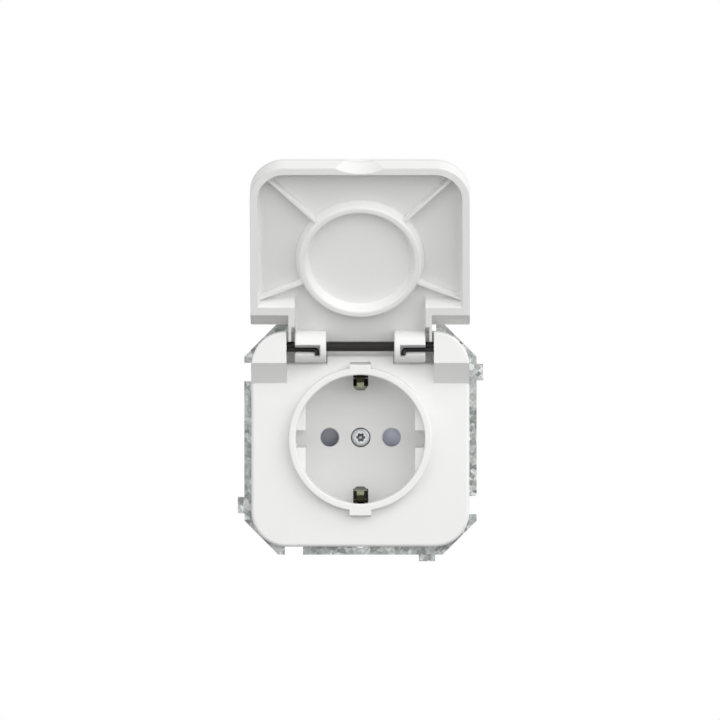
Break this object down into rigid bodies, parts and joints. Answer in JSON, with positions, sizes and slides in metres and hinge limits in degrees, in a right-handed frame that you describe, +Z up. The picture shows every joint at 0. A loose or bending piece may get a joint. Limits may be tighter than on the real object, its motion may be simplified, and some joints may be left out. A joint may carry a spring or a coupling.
{
  "type": "outdoor weatherproof socket",
  "caption": "Flush-mounted earthed socket outlet with a round recess, a hinged splash lid that stands open, and a square galvanised support plate with a round carrier behind it.",
  "frame": {"origin": "centre of the fixing slots, on the recess axis, in the support plate's rear face", "axes": "+X to the right, +Z up along the opened lid, +Y into the wall; the recess faces -Y"},
  "size_m": [0.075, 0.0681, 0.1237],
  "materials": {
    "white_plastic": "moulded, satin gloss",
    "lid_plastic": "moulded, satin gloss",
    "black_rod": "black finished steel",
    "black_wire": "black finished spring wire",
    "screw_steel": "bright zinc",
    "galvanised_sheet": "hot-dip zinc with a spangle",
    "seal_rubber": "matt",
    "rivet_steel": "bright zinc",
    "base_plastic": "moulded thermoset",
    "base_cover_plastic": "moulded",
    "shutter_plastic": "moulded",
    "spring_steel": "rolled strip",
    "contact_brass": "stamped",
    "strap_brass": "tinned strip",
    "clamp_steel": "bright zinc"
  },
  "bodies": {
    "housing": {"cover_plate": "white_plastic", "hinge_rod": "black_rod", "centre_screw": "screw_steel", "support_plate": "galvanised_sheet", "cover_seal": "seal_rubber", "plate_rivets": "rivet_steel", "socket_base": "base_plastic", "base_cover": "base_cover_plastic", "base_cover_screws": "screw_steel", "shutter_spring": "spring_steel", "contact_left": "contact_brass", "contact_right": "contact_brass", "earth_strap": "strap_brass", "terminal_clamp_left": "clamp_steel", "terminal_clamp_right": "clamp_steel", "terminal_clamp_earth": "clamp_steel", "terminal_screw_left": "screw_steel", "terminal_screw_right": "screw_steel", "terminal_screw_earth": "screw_steel"},
    "lid": {"lid": "lid_plastic", "lid_spring_left": "black_wire", "lid_spring_right": "black_wire"},
    "shutter": {"shutter": "shutter_plastic"}
  },
  "joints": [
    {"name": "lid_hinge", "type": "hinge", "parent": "housing", "child": "lid", "pos_m": [0, -0.0087, 0.0284], "axis": [1, 0, 0], "range_deg": [0, 155.7], "deforming": ["lid_spring_left", "lid_spring_right"]},
    {"name": "shutter_slide", "type": "slide", "parent": "housing", "child": "shutter", "axis": [0, 0, 1], "range_m": [0, 0.0065], "stiffness_N_per_m": 60, "springref_m": -0.002, "deforming": ["shutter_spring"]}
  ]
}
